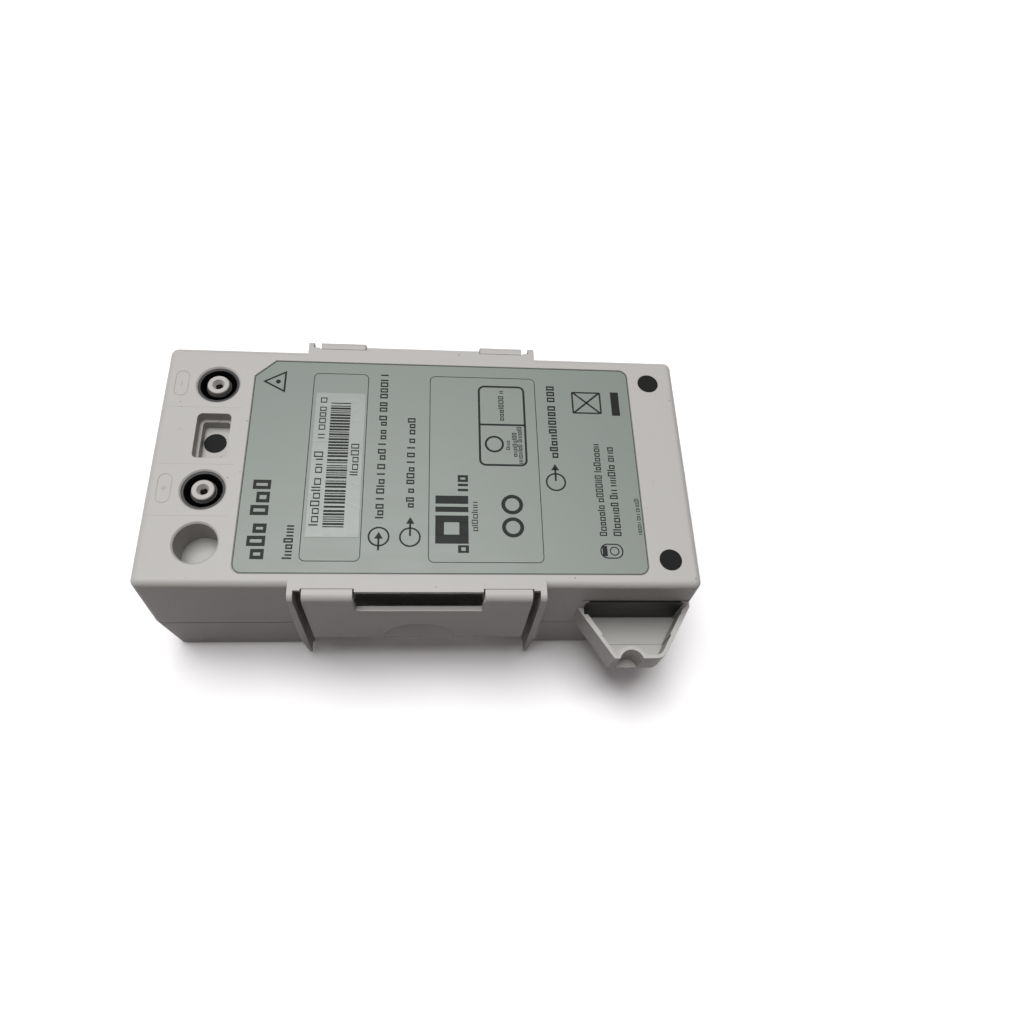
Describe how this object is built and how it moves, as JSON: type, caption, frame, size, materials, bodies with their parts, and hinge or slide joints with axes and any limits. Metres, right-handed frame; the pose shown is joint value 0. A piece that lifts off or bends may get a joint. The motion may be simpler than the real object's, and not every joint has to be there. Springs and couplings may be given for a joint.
{
  "type": "defibrillator ac power module",
  "caption": "Snap-in mains power module for a defibrillator bay: two-part grey case with sprung side latches, contact sockets, label face, side tray and internal supply.",
  "frame": {"origin": "middle of the flat back face, where the module rests", "axes": "+X from the contact end to the inlet end, +Y away from the side tray, +Z towards the label and contact face"},
  "size_m": [0.1688, 0.1046, 0.0532],
  "materials": {
    "shell_plastic": "fine spark texture",
    "label_sheet": "satin printed film",
    "silver_sticker": "metallised film",
    "plug_rubber": "matte",
    "black_plastic": "smooth moulded",
    "contact_metal": "plated, turned",
    "blade_metal": "nickel plated",
    "screw_steel": "zinc plated",
    "board_laminate": "solder mask",
    "barrier_film": "clear film",
    "fuse_ceramic": "white ceramic with metal caps",
    "spring_metal": "tinned",
    "film_case": "potted case",
    "disc_coating": "epoxy dipped",
    "ferrite": "sintered",
    "copper_wire": "enamelled",
    "chip_epoxy": "moulded epoxy",
    "can_sleeve": "shrink sleeve",
    "sink_metal": "extruded",
    "winding_tape": "polyester tape",
    "bobbin_plastic": "moulded",
    "wire_brown": "insulation",
    "wire_blue": "insulation",
    "wire_green": "insulation",
    "wire_red": "insulation",
    "wire_black": "insulation"
  },
  "bodies": {
    "root": {"upper_shell": "shell_plastic", "contact_end": "shell_plastic", "far_latch_pod": "shell_plastic", "near_latch_pod": "shell_plastic", "side_tray": "shell_plastic", "contact_posts": "shell_plastic", "lower_shell": "shell_plastic", "rating_label": "label_sheet", "serial_sticker": "silver_sticker", "screw_plugs": "plug_rubber", "shell_screws": "screw_steel", "contact_sockets": "contact_metal", "contact_collars": "black_plastic", "port_cover": "black_plastic", "inlet_housing": "black_plastic", "inlet_blades": "blade_metal", "main_board": "board_laminate", "board_screws": "screw_steel", "insulation_sheet": "barrier_film", "line_fuses": "fuse_ceramic", "fuse_clips": "spring_metal", "line_filter_capacitors": "film_case", "varistor": "disc_coating", "inrush_thermistor": "disc_coating", "filter_choke_core": "ferrite", "filter_choke_windings": "copper_wire", "bridge_rectifier": "chip_epoxy", "bulk_capacitor": "can_sleeve", "primary_heat_sink": "sink_metal", "switching_transistors": "chip_epoxy", "transformer_core": "ferrite", "transformer_bobbin": "bobbin_plastic", "transformer_winding": "winding_tape", "secondary_heat_sink": "sink_metal", "output_rectifiers": "chip_epoxy", "output_choke_core": "ferrite", "output_choke_winding": "copper_wire", "output_capacitors": "can_sleeve", "controller_board": "board_laminate", "controller_chip": "chip_epoxy", "isolating_couplers": "chip_epoxy", "line_lead": "wire_brown", "neutral_lead": "wire_blue", "earth_lead": "wire_green", "positive_lead": "wire_red", "negative_lead": "wire_black"},
    "near_latch": {"near_latch_arm": "shell_plastic"},
    "far_latch": {"far_latch_arm": "shell_plastic"}
  },
  "joints": [
    {"name": "near_latch_hinge", "type": "hinge", "parent": "root", "child": "near_latch", "pos_m": [-0.0019, -0.0438, 0.051], "axis": [1, 0, 0], "range_deg": [0, 6], "stiffness_Nm_per_rad": 3.5},
    {"name": "far_latch_hinge", "type": "hinge", "parent": "root", "child": "far_latch", "pos_m": [-0.0019, 0.0438, 0.051], "axis": [-1, 0, 0], "range_deg": [0, 6], "stiffness_Nm_per_rad": 3.5}
  ]
}
